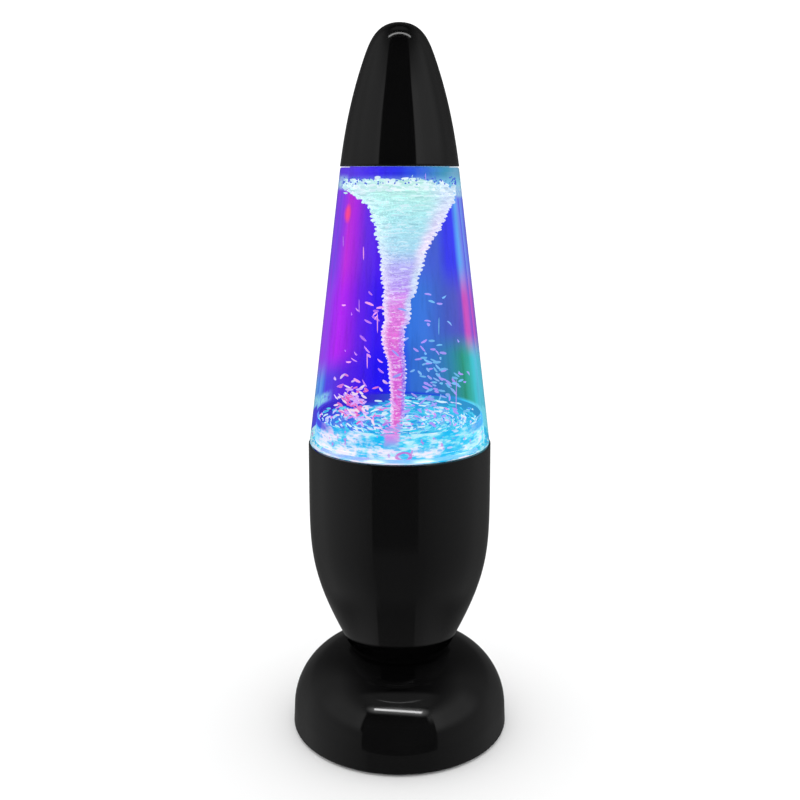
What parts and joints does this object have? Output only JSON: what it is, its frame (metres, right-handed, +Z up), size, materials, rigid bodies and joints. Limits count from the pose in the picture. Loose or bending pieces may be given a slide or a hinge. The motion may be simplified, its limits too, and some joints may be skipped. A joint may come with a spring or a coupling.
{
  "type": "vortex glitter lamp",
  "caption": "Desk vortex lamp: a clear liquid-filled bottle with a spinning glitter funnel, on a gloss black cup and dome base under a black bullet cap.",
  "frame": {"origin": "centre of the footprint at the undersides of the feet, on the table", "axes": "+Z up along the lamp, front at -Y, switch and inlet at +Y"},
  "size_m": [0.105, 0.105, 0.3286],
  "materials": {
    "gloss_black": "high gloss black moulded plastic",
    "inner_black": "plain black moulded plastic",
    "rubber": "matt rubber",
    "screw_steel": "plain steel",
    "spring_steel": "bright plated steel",
    "motor_steel": "plated steel can",
    "magnet": "nickel plated magnet",
    "board_green": "green circuit board",
    "board_white": "white circuit board",
    "white_plastic": "white moulded plastic",
    "clear_plastic": "clear polished plastic",
    "liquid": "clear liquid lit blue and violet",
    "glitter": "pearl glitter flakes in liquid",
    "cell_jacket": "printed metal cell jacket"
  },
  "bodies": {
    "base": {"dome_base": "gloss_black", "base_plate": "inner_black", "cup": "gloss_black", "cup_screw_1": "screw_steel", "cup_screw_2": "screw_steel", "cup_screw_3": "screw_steel", "plate_screw_1": "screw_steel", "plate_screw_2": "screw_steel", "plate_screw_3": "screw_steel", "rubber_foot_1": "rubber", "rubber_foot_2": "rubber", "rubber_foot_3": "rubber", "rubber_foot_4": "rubber", "battery_cell_1": "cell_jacket", "battery_cell_2": "cell_jacket", "battery_cell_3": "cell_jacket", "battery_spring_1": "spring_steel", "battery_spring_2": "spring_steel", "battery_spring_3": "spring_steel", "battery_contact_1": "spring_steel", "battery_contact_2": "spring_steel", "battery_contact_3": "spring_steel", "control_board": "board_green", "power_switch": "inner_black", "usb_inlet": "spring_steel", "motor_mount": "inner_black", "mount_screw_1": "screw_steel", "mount_screw_2": "screw_steel", "mount_screw_3": "screw_steel", "motor": "motor_steel", "led_board": "board_white", "led_1": "clear_plastic", "led_2": "clear_plastic", "led_3": "clear_plastic", "led_4": "clear_plastic", "led_5": "clear_plastic", "led_6": "clear_plastic", "reflector": "white_plastic", "diffuser": "white_plastic", "motor_leads": "inner_black", "led_leads": "inner_black"},
    "rotor": {"motor_shaft": "spring_steel", "drive_hub": "white_plastic", "drive_magnet_1": "magnet", "drive_magnet_2": "magnet"},
    "bottle": {"bottle": "clear_plastic", "bottle_floor": "clear_plastic", "bottle_seal": "rubber", "impeller_pin": "spring_steel", "liquid": "liquid", "stopper": "white_plastic", "stopper_seal": "rubber"},
    "impeller": {"impeller": "white_plastic", "impeller_magnet_1": "magnet", "impeller_magnet_2": "magnet", "glitter_vortex": "glitter"},
    "cap": {"top_cap": "gloss_black"},
    "button": {"power_button": "gloss_black"},
    "door": {"battery_door": "inner_black"}
  },
  "joints": [
    {"name": "motor_spin", "type": "hinge", "parent": "base", "child": "rotor", "pos_m": [0, 0, 0.13], "axis": [0, 0, 1], "continuous": true},
    {"name": "bottle_lift", "type": "slide", "parent": "base", "child": "bottle", "axis": [0, 0, 1], "range_m": [0, 0.06]},
    {"name": "impeller_spin", "type": "hinge", "parent": "bottle", "child": "impeller", "pos_m": [0, 0, 0.14], "axis": [0, 0, 1], "continuous": true},
    {"name": "cap_lift", "type": "slide", "parent": "bottle", "child": "cap", "axis": [0, 0, 1], "range_m": [0, 0.04]},
    {"name": "power_button_press", "type": "slide", "parent": "base", "child": "button", "axis": [0, -1, 0], "range_m": [0, 0.0012], "stiffness_N_per_m": 500},
    {"name": "battery_door_hinge", "type": "hinge", "parent": "base", "child": "door", "pos_m": [0, 0.0152, 0.003], "axis": [1, 0, 0], "range_deg": [0, 100]}
  ],
  "couplings": [
    {"joint": "impeller_spin", "follows": "motor_spin", "ratio": 1}
  ]
}
